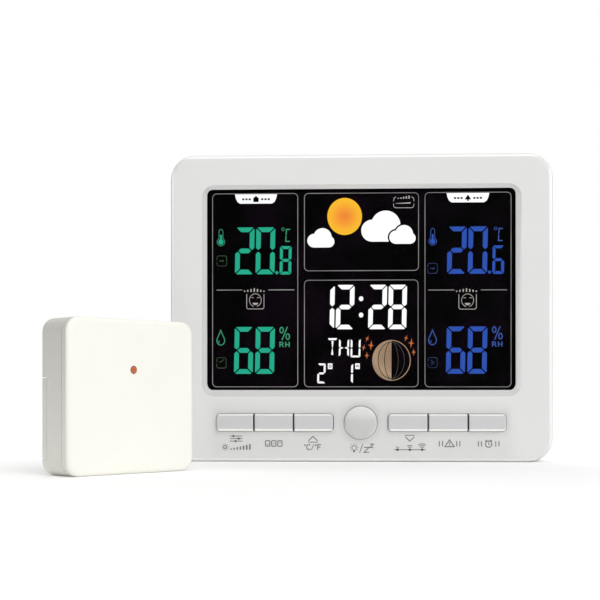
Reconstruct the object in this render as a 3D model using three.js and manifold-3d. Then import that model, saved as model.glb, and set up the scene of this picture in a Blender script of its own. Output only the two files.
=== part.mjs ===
// Home weather station: a desk console with a colour display, and its wireless outdoor sensor.
// Units are millimetres. X runs to the right along the console's face, Y runs from the face to the
// back, and Z is up. The origin is on the table, under the middle of the console.
import * as THREE from "three";
import { mergeVertices } from "three/addons/utils/BufferGeometryUtils.js";
import Module from "manifold-3d";

const wasm = await Module();
wasm.setup();

// Driving dimensions
const GAP = 0.3; // clearance between neighbouring pieces
const WALL = 2; // housing wall
const CONSOLE = { width: 175, height: 141, corner: 11, front: -13, seam: 2, back: 13, edge: 2.2 };
const FRONT_INSIDE = CONSOLE.front + 2.2; // back surface of the console's front wall
const DISPLAY = { width: 141.4, height: 92.4, z: 79.1, corner: 2.7, slope: 1.6, lowX: 2.5, lowZ: 3.3 };
const DISPLAY_RECESS = { width: 146.4, height: 97.4, z: 78.4, corner: 6 };
const DISPLAY_STACK = { width: 150, height: 99, rim: 1.2, ledge: 3.6 }; // window, glass and light guide
const LAYERS = { // front and back of each layer behind the display opening
  window: [-10.5, -9],
  glass: [-8.7, -7.6],
  rearGlass: [-7.7, -6.5],
  guide: [-6.2, -3.2],
  retainer: [-2.3, -1.1],
  board: [-0.8, 0.8],
};
const BOARD_BACK = LAYERS.board[1] + GAP; // front of what is fitted behind the main board
const KEYS = {
  z: 18, height: 7.7, splits: [12.6, 30.7, 48.95, 66.1], split: 0.6, opening: 1.9,
  endCorner: 1.6, innerCorner: 0.5, edge: 0.6, flange: 1.25, flangeBack: -9.5, stem: 1.5, stemBack: -6.7,
};
const ROUND_KEY = { radius: 7.5, raised: 1.4, sides: 40 };
const SWITCH = { half: 3, front: -4.4, plunger: 1.75, plungerFront: -5.8 };
const SCREW = { x: 80.5, lowZ: 20, highZ: 122, shank: 1.05, head: 2.3, boss: 3.2, post: 3.8, seat: 6, tip: -6 };
const CELL = { radius: 5.15, length: 43, nub: 1.5, nubRadius: 1.9 }; // AAA cell
const TRAY = { x: 27.8, lowZ: 78.7, highZ: 115.3, floor: 0.3, wall: 1.2 };
const STAND = {
  x: 43.2, length: 50.8, thick: 2.4, low: 0.5, hingeY: 11.2, hingeZ: 2.2, barrel: 1.5, pin: 0.9,
};
const JACK = { x: 62, z: 30, socket: 2.75, barrel: 3.2, half: 4.5, bodyBack: 10.6, barrelBack: 12.6, pin: 1 };
const KEYHOLE = { head: 3.5, neck: 1.8, rise: 5, depth: 3.4, lip: 1.4, z: 124, sensorZ: 44, wall: 1.2 };
const SENSOR = { side: 60, corner: 5.5, front: -9.25, seam: -5.1, back: 9.25, wall: 1.8, edge: 1.7 };
const SENSOR_PLACE = { x: -95.5, y: -92.4, turn: 46.9 }; // centre of its base, and its turn in degrees
const SENSOR_DOOR = { lowZ: 6.5, highZ: 37, depth: 4 };
const SENSOR_TRAY = { x: 27.3, lowZ: 8.9, highZ: 36, floor: -3.5, wall: 1.2 };
const SENSOR_LED = { z: 40.3, radius: 1.3, front: -9.5 };
const SENSOR_BOARD = { front: -6.9, back: -5.7 };
const SENSOR_SCREW = { x: 22, z: 51, boss: 3, post: 3.5, seat: 2.5, tip: -6.4 };
const ARC_STEPS = 7; // segments in a quarter turn of a large corner
const SMALL_STEPS = 3; // segments in a quarter turn of a small edge

const WORLD = 400; // longer than any piece, for cutting tools
const OVERLAP = 0.2; // how far joined features of one piece run into each other

// Finishes
const finish = (color, roughness, metalness = 0) => ({ color, roughness, metalness });
const FINISHES = {
  housing: finish(0xdedede, 0.5),
  housingBack: finish(0xd6d6d6, 0.55),
  key: finish(0xe2e2e2, 0.4),
  window: finish(0x20242a, 0.1),
  lcd: finish(0x050505, 0.2),
  guide: finish(0xf2f2ee, 0.3),
  board: finish(0x1f6b3a, 0.5),
  chip: finish(0x151515, 0.4),
  rubber: finish(0x3a3a3c, 0.9),
  frame: finish(0x9a9c9e, 0.6),
  metal: finish(0xb8babd, 0.3, 1),
  cell: finish(0x2c6e49, 0.35, 0.4),
  sensor: finish(0xf2f0ea, 0.5),
  led: finish(0xc46437, 0.3),
};

// Helpers for outlines, which lie in the XZ plane and run anticlockwise seen from the front
const radians = THREE.MathUtils.degToRad;

function roundedRect(x, z, width, height, radius, steps = ARC_STEPS) {
  const radii = Array.isArray(radius) ? radius : [radius, radius, radius, radius];
  const corners = [[1, -1], [1, 1], [-1, 1], [-1, -1]];
  return corners.flatMap(([sideX, sideZ], corner) => {
    const r = radii[corner];
    return Array.from({ length: steps + 1 }, (_, i) => {
      const angle = radians(90 * (corner - 1) + (90 * i) / steps);
      return new THREE.Vector2(
        x + sideX * (width / 2 - r) + r * Math.cos(angle),
        z + sideZ * (height / 2 - r) + r * Math.sin(angle),
      );
    });
  });
}

function circle(x, z, radius, sides = 32) {
  return Array.from({ length: sides }, (_, i) => {
    const angle = (2 * Math.PI * i) / sides;
    return new THREE.Vector2(x + radius * Math.cos(angle), z + radius * Math.sin(angle));
  });
}

// A closed body through outlines of equal point count, given from front to back
function loft(rings) {
  const count = rings[0].points.length;
  const position = rings.flatMap(({ points, y }) => points.flatMap((p) => [p.x, y, p.y]));
  const index = [];
  const last = (rings.length - 1) * count;
  for (const [a, b, c] of THREE.ShapeUtils.triangulateShape(rings[0].points, [])) {
    index.push(a, b, c);
  }
  for (const [a, b, c] of THREE.ShapeUtils.triangulateShape(rings.at(-1).points, [])) {
    index.push(last + a, last + c, last + b);
  }
  for (let ring = 0; ring < rings.length - 1; ring += 1) {
    for (let i = 0; i < count; i += 1) {
      const here = ring * count + i;
      const next = ring * count + ((i + 1) % count);
      index.push(here, here + count, next, next, here + count, next + count);
    }
  }
  const geometry = new THREE.BufferGeometry();
  geometry.setAttribute("position", new THREE.Float32BufferAttribute(position, 3));
  geometry.setIndex(index);
  return solid(geometry);
}

function solid(geometry) {
  geometry.deleteAttribute("normal");
  geometry.deleteAttribute("uv");
  const merged = mergeVertices(geometry, 1e-4);
  return new wasm.Manifold(new wasm.Mesh({
    numProp: 3,
    vertProperties: new Float32Array(merged.attributes.position.array),
    triVerts: Uint32Array.from(merged.index.array),
  }));
}

const plate = (points, front, back) => loft([{ points, y: front }, { points, y: back }]);

// A plate whose front and back edges are rounded; outline(inset) gives its outline, drawn in by inset
function roundedPlate(outline, front, back, frontEdge, backEdge, steps = 4) {
  const rings = [];
  const quarter = (i) => radians((90 * i) / steps);
  for (let i = 0; frontEdge > 0 && i <= steps; i += 1) {
    const inset = frontEdge * (1 - Math.sin(quarter(i)));
    rings.push({ points: outline(inset), y: front + frontEdge * (1 - Math.cos(quarter(i))) });
  }
  if (frontEdge === 0) rings.push({ points: outline(0), y: front });
  for (let i = 0; backEdge > 0 && i <= steps; i += 1) {
    const inset = backEdge * (1 - Math.cos(quarter(i)));
    rings.push({ points: outline(inset), y: back - backEdge * (1 - Math.sin(quarter(i))) });
  }
  if (backEdge === 0) rings.push({ points: outline(0), y: back });
  return loft(rings);
}

function box(x0, x1, y0, y1, z0, z1) {
  const geometry = new THREE.BoxGeometry(x1 - x0, y1 - y0, z1 - z0);
  geometry.translate((x0 + x1) / 2, (y0 + y1) / 2, (z0 + z1) / 2);
  return solid(geometry);
}

const disc = (x, z, radius, front, back, sides = 24) => plate(circle(x, z, radius, sides), front, back);

// A round rod or cone along X
function rodX(x0, x1, y, z, radius0, radius1 = radius0, sides = 20) {
  const geometry = new THREE.CylinderGeometry(radius1, radius0, x1 - x0, sides);
  geometry.rotateZ(-Math.PI / 2);
  geometry.translate((x0 + x1) / 2, y, z);
  return solid(geometry);
}

const joined = (bodies) => bodies.reduce((whole, body) => whole.add(body));
const cut = (body, tools) => tools.reduce((rest, tool) => rest.subtract(tool), body);

function addPart(group, name, body, look) {
  const { vertProperties, triVerts } = body.getMesh();
  const geometry = new THREE.BufferGeometry();
  geometry.setAttribute("position", new THREE.BufferAttribute(vertProperties, 3));
  geometry.setIndex(new THREE.BufferAttribute(triVerts, 1));
  geometry.computeVertexNormals();
  const mesh = new THREE.Mesh(geometry, new THREE.MeshStandardMaterial(look));
  mesh.name = name;
  group.add(mesh);
}

// Shared features
function keyholePocket(x, z, back) {
  const floor = back - KEYHOLE.depth;
  const reach = KEYHOLE.head + 2.5;
  return box(x - reach, x + reach, floor - KEYHOLE.wall, back - 1, z - reach, z + KEYHOLE.rise + reach);
}

function keyholeCut(x, z, back) {
  const floor = back - KEYHOLE.depth;
  const lip = back - KEYHOLE.lip;
  const top = z + KEYHOLE.rise;
  return joined([
    disc(x, z, KEYHOLE.head, floor, back + 1),
    disc(x, top, KEYHOLE.head, floor, lip),
    box(x - KEYHOLE.head, x + KEYHOLE.head, floor, lip, z, top),
    disc(x, top, KEYHOLE.neck, floor, back + 1),
    box(x - KEYHOLE.neck, x + KEYHOLE.neck, floor, back + 1, z, top),
  ]);
}

function screw(x, z, { seat, tip } = SCREW) {
  const head = disc(x, z, SCREW.head, seat + GAP, seat + GAP + 1.8, 20);
  const slot = joined([
    box(x - 1.5, x + 1.5, seat + 1.2, seat + 3, z - 0.3, z + 0.3),
    box(x - 0.3, x + 0.3, seat + 1.2, seat + 3, z - 1.5, z + 1.5),
  ]);
  return joined([head, disc(x, z, SCREW.shank, tip, seat + 1, 12)]).subtract(slot);
}

function cell(x, y, z, toRight) {
  const half = (CELL.length + CELL.nub) / 2;
  const side = toRight ? 1 : -1;
  const span = (a, b, radius) => rodX(x + Math.min(a, b), x + Math.max(a, b), y, z, radius);
  return joined([
    span(-side * half, side * (half - CELL.nub), CELL.radius),
    span(side * (half - CELL.nub - 0.5), side * half, CELL.nubRadius),
  ]);
}

// A contact strip at the end of the cells, with a sprung cone in front of each cell
function contacts(x, y, cellZs, side) {
  const from = CELL.radius - 1.2;
  const low = Math.min(...cellZs) - from;
  const high = Math.max(...cellZs) + from;
  const strip = box(x - 0.25, x + 0.25, y - from, y + from, low, high);
  const cones = cellZs.map((z) => (side < 0
    ? rodX(x, x + 3.2, y, z, 3, 1.4, 16)
    : rodX(x - 3.2, x, y, z, 1.4, 3, 16)));
  return joined([strip, ...cones]);
}

// Console: front half
const consoleOutline = (inset) => roundedRect(
  0, CONSOLE.height / 2, CONSOLE.width - 2 * inset, CONSOLE.height - 2 * inset, CONSOLE.corner - inset,
);
const SCREWS = [SCREW.lowZ, SCREW.highZ].flatMap((z) => [[-SCREW.x, z], [SCREW.x, z]]);
const KEY_LAYOUT = keyLayout();

function keyLayout() {
  const names = ["set", "memory", "up", "down", "alert", "alarm"];
  const inner = KEYS.splits.slice(0, 3).map((x, i) => [x, KEYS.splits[i + 1]]);
  const spans = [...inner.map(([a, b]) => [-b, -a]).reverse(), ...inner];
  return names.map((name, i) => {
    const [left, right] = spans[i];
    const ends = { left: i === 0 || i === 3, right: i === 2 || i === 5 };
    return {
      name,
      left: left + (ends.left ? 0 : KEYS.split / 2),
      right: right - (ends.right ? 0 : KEYS.split / 2),
      ends,
      front: CONSOLE.front - (ends.left || ends.right ? 1.2 : 0.8),
    };
  });
}

function frontBezel() {
  const outside = roundedPlate(consoleOutline, CONSOLE.front, CONSOLE.seam, CONSOLE.edge, 0);
  const cavity = plate(consoleOutline(WALL), FRONT_INSIDE, CONSOLE.seam + 1);
  const recess = roundedRect(
    0, DISPLAY_RECESS.z, DISPLAY_RECESS.width, DISPLAY_RECESS.height, DISPLAY_RECESS.corner,
  );
  const opening = displayOpening();
  const displayCut = loft([
    { points: recess, y: CONSOLE.front - 1 },
    { points: recess, y: CONSOLE.front },
    { points: opening, y: CONSOLE.front + DISPLAY.slope },
    { points: opening, y: FRONT_INSIDE + 1 },
  ]);
  const keyCuts = [-1, 1].map((side) => {
    const [near, far] = [KEYS.splits[0], KEYS.splits[3]];
    return plate(roundedRect(
      (side * (near + far)) / 2, KEYS.z, far - near + 2 * GAP, KEYS.height + 2 * GAP, KEYS.opening,
      SMALL_STEPS,
    ), CONSOLE.front - 1, FRONT_INSIDE + 1);
  });
  const roundCut = disc(
    0, KEYS.z, ROUND_KEY.radius + GAP, CONSOLE.front - 1, FRONT_INSIDE + 1, ROUND_KEY.sides,
  );
  return cut(
    joined([cut(outside, [cavity, displayCut, ...keyCuts, roundCut]), displayRim(), ...bosses()]),
    SCREWS.map(([x, z]) => disc(x, z, SCREW.shank + GAP, SCREW.tip - 1, WORLD, 16)),
  );
}

// Its bottom corners are taller than wide; they have as many points as the recess's corners, so that
// the two outlines loft together
function displayOpening() {
  const { width, height, z, corner, lowX, lowZ } = DISPLAY;
  const outline = roundedRect(0, z, width, height, corner);
  const bottom = z - height / 2;
  for (let i = 0; i <= ARC_STEPS; i += 1) {
    const angle = radians((90 * i) / ARC_STEPS);
    const fromLow = 1 - Math.cos(angle);
    const fromHigh = 1 - Math.sin(angle);
    outline[i].set(width / 2 - lowX * fromHigh, bottom + lowZ * fromLow);
    outline[3 * (ARC_STEPS + 1) + i].set(-width / 2 + lowX * fromLow, bottom + lowZ * fromHigh);
  }
  return outline;
}

// The rib that locates the window, the glass and the light guide
function displayRim() {
  const { width, height, rim } = DISPLAY_STACK;
  const clear = 2 * GAP;
  const outline = (grow) => roundedRect(
    0, DISPLAY.z, width + 2 * grow, height + 2 * grow, 1.5, SMALL_STEPS,
  );
  const ring = plate(outline(clear + rim), FRONT_INSIDE - OVERLAP, LAYERS.retainer[0] - GAP);
  return ring.subtract(plate(outline(clear), -WORLD, WORLD));
}

function bosses() {
  return SCREWS.map(([x, z]) => disc(x, z, SCREW.boss, FRONT_INSIDE - OVERLAP, CONSOLE.seam - 1));
}

// Console: keys and the switches behind them
function rectangularKey({ left, right, ends, front }) {
  const middle = (left + right) / 2;
  const radii = (inset) => {
    const [leftRadius, rightRadius] = [ends.left, ends.right].map(
      (end) => (end ? KEYS.endCorner : KEYS.innerCorner) - inset,
    );
    return [rightRadius, rightRadius, leftRadius, leftRadius].map((r) => Math.max(r, 0.1));
  };
  const outline = (inset) => roundedRect(
    middle, KEYS.z, right - left - 2 * inset, KEYS.height - 2 * inset, radii(inset), SMALL_STEPS,
  );
  const flange = outline(0).map((p) => p.clone().setY(KEYS.z + (p.y - KEYS.z) * KEYS.flange));
  return joined([
    roundedPlate(outline, front, KEYS.flangeBack - 0.1, KEYS.edge, 0, SMALL_STEPS),
    plate(flange, FRONT_INSIDE + GAP, KEYS.flangeBack),
    keyStem(middle),
  ]);
}

function keyStem(x) {
  const { z, stem, flangeBack, stemBack } = KEYS;
  return box(x - stem, x + stem, flangeBack - OVERLAP, stemBack, z - stem, z + stem);
}

function roundKey() {
  const { radius, raised, sides } = ROUND_KEY;
  const front = CONSOLE.front - raised;
  const dome = [[2.5, 0], [4.8, 0.1], [6.4, 0.28], [7.1, 0.5], [radius, 1], [radius, 5]]; // radius, depth
  const rings = dome.map(([r, depth]) => ({ points: circle(0, KEYS.z, r, sides), y: front + depth }));
  return joined([
    loft(rings),
    disc(0, KEYS.z, radius + 1, FRONT_INSIDE + GAP, KEYS.flangeBack, sides),
    keyStem(0),
  ]);
}

function tactSwitch(x) {
  const { half, front, plunger, plungerFront } = SWITCH;
  const back = LAYERS.board[0] - GAP;
  const body = box(x - half, x + half, front, back, KEYS.z - half, KEYS.z + half);
  return body.add(disc(x, KEYS.z, plunger, plungerFront, front + OVERLAP, 16));
}

// Console: display stack, from the window back to the board
function displayStack(group) {
  const { width, height, ledge } = DISPLAY_STACK;
  const low = DISPLAY.z - height / 2;
  const high = DISPLAY.z + height / 2;
  const half = width / 2;
  const layer = ([front, back], fromZ, toZ) => box(-half, half, front, back, fromZ, toZ);
  addPart(group, "display_window", layer(LAYERS.window, low, high), FINISHES.window);
  const glass = layer(LAYERS.glass, low, high).add(layer(LAYERS.rearGlass, low + ledge, high));
  addPart(group, "lcd_panel", glass, FINISHES.lcd);
  addPart(group, "backlight_guide", layer(LAYERS.guide, low + ledge, high - 2), FINISHES.guide);
  addPart(group, "backlight_led_strip", ledStrip(half - 4, high - 1), FINISHES.board);
  const elastomer = box(
    4 - half, half - 4, LAYERS.rearGlass[0] + 2 * OVERLAP, LAYERS.retainer[1], low + 0.5, low + 3.2,
  );
  addPart(group, "elastomer_strip", elastomer, FINISHES.rubber);
  addPart(group, "display_retainer", retainerFrame(), FINISHES.frame);
}

// A strip with seven LEDs that shine down into the light guide
function ledStrip(half, z) {
  const [front, back] = [LAYERS.guide[0] + GAP, LAYERS.guide[1] - GAP];
  const ledXs = Array.from({ length: 7 }, (_, i) => (i - 3) * 22);
  return joined([
    box(-half, half, front, back, z, z + 0.8),
    ...ledXs.map((x) => box(x - 1.4, x + 1.4, front + GAP, back - GAP, z - 0.6, z + 0.1)),
  ]);
}

function retainerFrame() {
  const [front, back] = LAYERS.retainer;
  const frame = plate(roundedRect(0, 83, 152, 98, 2, SMALL_STEPS), front, back);
  return frame.subtract(plate(roundedRect(0, 81, 124, 78, 4, SMALL_STEPS), -WORLD, WORLD));
}

// Console: electronics behind the display
function electronics(group) {
  const [front, back] = LAYERS.board;
  addPart(group, "main_board", box(-74, 74, front, back, 7, 75.5), FINISHES.board);
  const chip = (inset) => circle(-12, 58, 7 - inset, 24);
  const chipBack = BOARD_BACK + 1.5;
  addPart(group, "controller_chip", roundedPlate(chip, BOARD_BACK, chipBack, 0, 1.2, 3), FINISHES.chip);
  const receiver = joined([
    box(-58, -38, BOARD_BACK, BOARD_BACK + 1, 50, 66),
    box(-52, -45, BOARD_BACK + 0.9, BOARD_BACK + 2.3, 54, 61),
  ]);
  addPart(group, "radio_receiver", receiver, FINISHES.board);
  addPart(group, "radio_antenna", antenna(), FINISHES.metal);
  addPart(group, "climate_sensor", climateSensor(), FINISHES.frame);
  addPart(group, "buzzer", buzzer(36, 62, 6), FINISHES.chip);
  addPart(group, "dc_jack", dcJack(), FINISHES.chip);
}

function buzzer(x, z, radius) {
  const back = BOARD_BACK + 4.5;
  return disc(x, z, radius, BOARD_BACK, back, 28).subtract(disc(x, z, 1, back - 2, WORLD, 12));
}

// Bare wire from the radio receiver, up and along the top of the housing
function antenna() {
  const path = new THREE.CatmullRomCurve3([
    new THREE.Vector3(-48, 4.5, 62),
    new THREE.Vector3(-49, 5.2, 70),
    new THREE.Vector3(-50, 5.5, 100),
    new THREE.Vector3(-47, 5.5, 122),
    new THREE.Vector3(-38, 5.5, 130),
    new THREE.Vector3(-20, 5.5, 132),
    new THREE.Vector3(10, 5.5, 132),
  ]);
  const section = new THREE.Shape(circle(0, 0, 0.5, 8));
  return solid(new THREE.ExtrudeGeometry(section, { steps: 36, extrudePath: path, bevelEnabled: false }));
}

function climateSensor() {
  const body = box(-71, -63, BOARD_BACK, 4.6, 36, 44);
  const windows = [38, 40, 42].map((z) => box(-70, -64, 4, 6, z - 0.4, z + 0.4));
  return cut(body, windows);
}

function dcJack() {
  const { x, z, socket, barrel, half, bodyBack, barrelBack, pin } = JACK;
  const body = box(x - half, x + half, BOARD_BACK, bodyBack, z - half, z + half);
  const collar = disc(x, z, barrel, bodyBack - OVERLAP, barrelBack, 28);
  const hollow = disc(x, z, socket, 3.5, WORLD, 24);
  return joined([body, collar]).subtract(hollow).add(disc(x, z, pin, 3, barrelBack - 0.8, 16));
}

// Console: rear half
function rearCover() {
  const outside = roundedPlate(consoleOutline, CONSOLE.seam + GAP, CONSOLE.back, 0, 2);
  const cavity = plate(consoleOutline(WALL), CONSOLE.seam, CONSOLE.back - WALL);
  const hinge = box(-48.5, 48.5, 8, CONSOLE.back, 0, 5.2).intersect(outside);
  const standPocket = box(-45.4, 45.4, 8.7, CONSOLE.back - 1, 0, 55.6).intersect(outside);
  const posts = SCREWS.map(([x, z]) => disc(x, z, SCREW.post, CONSOLE.seam - 0.7, CONSOLE.back - 1));
  const { x, lowZ, highZ, floor, wall } = TRAY;
  const tray = box(-x - wall, x + wall, floor - 1, CONSOLE.back - 1, lowZ - wall, highZ + wall);
  const body = joined([
    outside.subtract(cavity), hinge, standPocket, ...posts, tray, keyholePocket(0, KEYHOLE.z, CONSOLE.back),
  ]);
  return cut(body, [
    box(-x, x, floor, WORLD, lowZ, highZ),
    ...standCuts(),
    ...SCREWS.flatMap(([sx, sz]) => [
      disc(sx, sz, SCREW.head + GAP, SCREW.seat, WORLD),
      disc(sx, sz, SCREW.shank + GAP, -WORLD, WORLD, 16),
    ]),
    disc(JACK.x, JACK.z, JACK.barrel + 0.4, CONSOLE.back - 4, WORLD, 28),
    keyholeCut(0, KEYHOLE.z, CONSOLE.back),
    ...vents(),
  ]);
}

// The pocket that the folded stand lies in, its hinge groove, the pin holes and a finger scoop
function standCuts() {
  const { hingeY, hingeZ, x, pin, barrel, length } = STAND;
  const pocketX = x + 0.5;
  const scoop = 8;
  return [
    box(-pocketX, pocketX, 10.2, WORLD, -WORLD, hingeZ + length + 0.8),
    rodX(-pocketX, pocketX, hingeY, hingeZ, barrel + 0.55),
    rodX(-pocketX - 3.6, pocketX + 3.6, hingeY, hingeZ, pin + 0.15),
    rodX(-scoop, scoop, CONSOLE.back + 1.5, hingeZ + length, 4.6, 4.6, 28),
  ];
}

function vents() {
  return [-1, 1].flatMap((side) => Array.from({ length: 6 }, (_, i) => box(
    Math.min(side * 58, side * 72), Math.max(side * 58, side * 72), CONSOLE.back - 3, WORLD,
    88 + i * 4, 89.4 + i * 4,
  )));
}

function batteryDoor() {
  const { x, lowZ, highZ } = TRAY;
  const middle = (lowZ + highZ) / 2;
  const outline = roundedRect(0, middle, 2 * (x - GAP), highZ - lowZ - 2 * GAP, 0.8, SMALL_STEPS);
  const grooves = Array.from({ length: 5 }, (_, i) => box(
    -9 + i, 9 - i, CONSOLE.back - 0.5, WORLD, highZ - 8 + i * 1.4, highZ - 7.4 + i * 1.4,
  ));
  return cut(plate(outline, CONSOLE.back - 1.7, CONSOLE.back), grooves);
}

function powerPack(group) {
  const y = TRAY.floor + GAP + CELL.radius;
  const middle = (TRAY.lowZ + TRAY.highZ) / 2;
  const cellZs = [-11.6, 0, 11.6].map((offset) => middle + offset);
  cellZs.forEach((z, i) => {
    addPart(group, `battery_${i + 1}`, cell(0, y, z, i % 2 === 0), FINISHES.cell);
  });
  addPart(group, "battery_contact_left", contacts(-TRAY.x + 0.6, y, cellZs, -1), FINISHES.metal);
  addPart(group, "battery_contact_right", contacts(TRAY.x - 0.6, y, cellZs, 1), FINISHES.metal);
}

// Fold-out table stand, laid out behind the console, with two rubber pads in pockets below it
const PADS = [-32, 32].map((x) => ({ x, y: 54, width: 14, depth: 9, up: 1.1 }));

function tableStand() {
  const { x, length, thick, low, hingeY, hingeZ, barrel, pin } = STAND;
  const leaf = box(-x, x, hingeY, hingeY + length, low, low + thick);
  const hingeBarrel = rodX(-x, x, hingeY, hingeZ, barrel);
  const pins = rodX(-x - 3.2, x + 3.2, hingeY, hingeZ, pin);
  const pockets = PADS.map((pad) => box(
    pad.x - pad.width / 2 - GAP, pad.x + pad.width / 2 + GAP,
    pad.y - pad.depth / 2 - GAP, pad.y + pad.depth / 2 + GAP, -1, pad.up + GAP,
  ));
  const fingerNotch = new THREE.CylinderGeometry(9, 9, 10, 32);
  fingerNotch.rotateX(Math.PI / 2);
  fingerNotch.translate(0, hingeY + length + 5, 0);
  const cornerCuts = [-1, 1].map((side) => {
    const wedge = new THREE.BoxGeometry(12, 12, 10);
    wedge.rotateZ(Math.PI / 4);
    wedge.translate(side * (x + 3.5), hingeY + length + 3.5, 0);
    return solid(wedge);
  });
  return cut(joined([leaf, hingeBarrel, pins]), [...pockets, solid(fingerNotch), ...cornerCuts]);
}

function standPad({ x, y, width, depth, up }) {
  return box(x - width / 2, x + width / 2, y - depth / 2, y + depth / 2, 0, up);
}

function buildConsole() {
  const group = new THREE.Group();
  addPart(group, "front_bezel", frontBezel(), FINISHES.housing);
  displayStack(group);
  for (const key of KEY_LAYOUT) {
    addPart(group, `key_${key.name}`, rectangularKey(key), FINISHES.key);
    addPart(group, `switch_${key.name}`, tactSwitch((key.left + key.right) / 2), FINISHES.chip);
  }
  addPart(group, "key_snooze", roundKey(), FINISHES.key);
  addPart(group, "switch_snooze", tactSwitch(0), FINISHES.chip);
  electronics(group);
  addPart(group, "rear_cover", rearCover(), FINISHES.housingBack);
  addPart(group, "battery_door", batteryDoor(), FINISHES.housingBack);
  powerPack(group);
  addPart(group, "table_stand", tableStand(), FINISHES.housingBack);
  PADS.forEach((pad, i) => addPart(group, `stand_pad_${i + 1}`, standPad(pad), FINISHES.rubber));
  SCREWS.forEach(([x, z], i) => addPart(group, `cover_screw_${i + 1}`, screw(x, z), FINISHES.metal));
  return group;
}

// Outdoor sensor, in its own frame: its base is centred on the origin and its face looks along -Y
const sensorOutline = (inset) => roundedRect(
  0, SENSOR.side / 2, SENSOR.side - 2 * inset, SENSOR.side - 2 * inset, SENSOR.corner - inset,
);
const SENSOR_SCREWS = [-SENSOR_SCREW.x, SENSOR_SCREW.x];
const SENSOR_RESET = { x: 12, z: 33.6, radius: 1.3 };
const SENSOR_CHANNEL = { x: -14, z: 33.6, travel: 4, width: 3, height: 2 };

function sensorFrontShell() {
  const outside = roundedPlate(sensorOutline, SENSOR.front, SENSOR.seam, SENSOR.edge, 0);
  const inside = SENSOR.front + SENSOR.wall;
  const cavity = plate(sensorOutline(SENSOR.wall), inside, SENSOR.seam + 1);
  const screwBosses = SENSOR_SCREWS.map(
    (x) => disc(x, SENSOR_SCREW.z, SENSOR_SCREW.boss, inside - OVERLAP, SENSOR.seam),
  );
  return cut(joined([outside.subtract(cavity), ...screwBosses]), [
    disc(0, SENSOR_LED.z, SENSOR_LED.radius + GAP, -WORLD, WORLD),
    ...SENSOR_SCREWS.map((x) => disc(x, SENSOR_SCREW.z, SCREW.shank + GAP, inside, WORLD, 16)),
  ]);
}

function sensorRearOutside() {
  return roundedPlate(sensorOutline, SENSOR.seam + GAP, SENSOR.back, 0, SENSOR.edge);
}

// The block that the battery door is cut from: the lower back, with a strip of each side
function sensorDoorBlock(grow) {
  const { lowZ, highZ, depth } = SENSOR_DOOR;
  return box(-WORLD, WORLD, SENSOR.back - depth - grow, WORLD, lowZ - grow, highZ + grow);
}

function sensorRearShell() {
  const cavity = plate(sensorOutline(SENSOR.wall), SENSOR.seam, SENSOR.back - SENSOR.wall);
  const { x, lowZ, highZ, floor, wall } = SENSOR_TRAY;
  const trayBack = SENSOR.back - SENSOR_DOOR.depth - 2 * GAP;
  const tray = box(-x - wall, x + wall, floor - 1, trayBack, lowZ - wall, highZ + wall);
  const posts = SENSOR_SCREWS.map(
    (sx) => disc(sx, SENSOR_SCREW.z, SENSOR_SCREW.post, SENSOR.seam + 0.5, SENSOR.back - 1),
  );
  const shell = cut(sensorRearOutside(), [cavity, sensorDoorBlock(GAP)]);
  const reach = SENSOR_CHANNEL.travel + SENSOR_CHANNEL.width / 2 + GAP;
  const channelCut = box(
    SENSOR_CHANNEL.x - SENSOR_CHANNEL.width / 2 - GAP, SENSOR_CHANNEL.x + reach, -WORLD, 0,
    SENSOR_CHANNEL.z - SENSOR_CHANNEL.height / 2 - GAP, SENSOR_CHANNEL.z + SENSOR_CHANNEL.height / 2 + GAP,
  );
  return cut(joined([shell, tray, ...posts, keyholePocket(0, KEYHOLE.sensorZ, SENSOR.back)]), [
    box(-x, x, floor, WORLD, lowZ, highZ),
    disc(SENSOR_RESET.x, SENSOR_RESET.z, SENSOR_RESET.radius + GAP, -WORLD, 0, 16),
    channelCut,
    ...SENSOR_SCREWS.flatMap((sx) => [
      disc(sx, SENSOR_SCREW.z, SCREW.head + GAP, SENSOR_SCREW.seat, WORLD),
      disc(sx, SENSOR_SCREW.z, SCREW.shank + GAP, -WORLD, WORLD, 16),
    ]),
    keyholeCut(0, KEYHOLE.sensorZ, SENSOR.back),
    ...sensorVents(),
  ]);
}

// Four slots through the base
function sensorVents() {
  const [near, far] = [8, 20];
  return [-far, near].flatMap((x) => [-1.2, 1.4].map(
    (y) => box(x, x + far - near, y - 0.6, y + 0.6, -1, SENSOR.wall + 1),
  ));
}

function sensorBatteryDoor() {
  const inside = plate(sensorOutline(SENSOR.wall), -WORLD, SENSOR.back - SENSOR.wall);
  const grooves = Array.from({ length: 4 }, (_, i) => box(
    -7 + i, 7 - i, SENSOR.back - 0.5, WORLD, 28 + i * 1.4, 28.6 + i * 1.4,
  ));
  return cut(sensorRearOutside().intersect(sensorDoorBlock(0)), [inside, ...grooves]);
}

function sensorControls(group) {
  const { x, z, radius } = SENSOR_RESET;
  const front = SENSOR_BOARD.back + 0.5;
  const reset = joined([disc(x, z, radius, front, -2.4, 16), disc(x, z, radius + 0.7, front, -4.85, 16)]);
  addPart(group, "sensor_reset_button", reset, FINISHES.rubber);
  const channel = SENSOR_CHANNEL;
  const knob = box(
    channel.x - channel.width / 2, channel.x + channel.width / 2, front, -2.2,
    channel.z - channel.height / 2, channel.z + channel.height / 2,
  );
  addPart(group, "sensor_channel_slider", knob, FINISHES.chip);
}

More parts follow.
